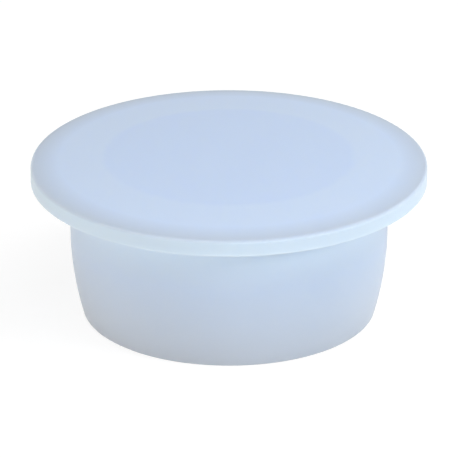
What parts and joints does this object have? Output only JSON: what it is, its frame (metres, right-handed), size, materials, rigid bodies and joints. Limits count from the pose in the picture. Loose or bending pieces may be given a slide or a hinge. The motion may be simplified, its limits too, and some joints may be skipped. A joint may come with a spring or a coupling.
{
  "type": "hole plug",
  "caption": "Round push-in hole plug with a low domed, flanged head on a hollow skirt that grips the panel hole and leads in at its tip.",
  "frame": {"origin": "on the axis, in the plane of the flange's underside, where it meets the panel", "axes": "+Z along the axis, out of the hole and up through the head; the plug is round, so X and Y are free"},
  "size_m": [0.04, 0.04, 0.0169],
  "materials": {
    "natural_ldpe": "natural low-density polyethylene, milky and slightly blue, satin as moulded"
  },
  "bodies": {
    "root": {"hole_plug": "natural_ldpe"}
  },
  "joints": []
}
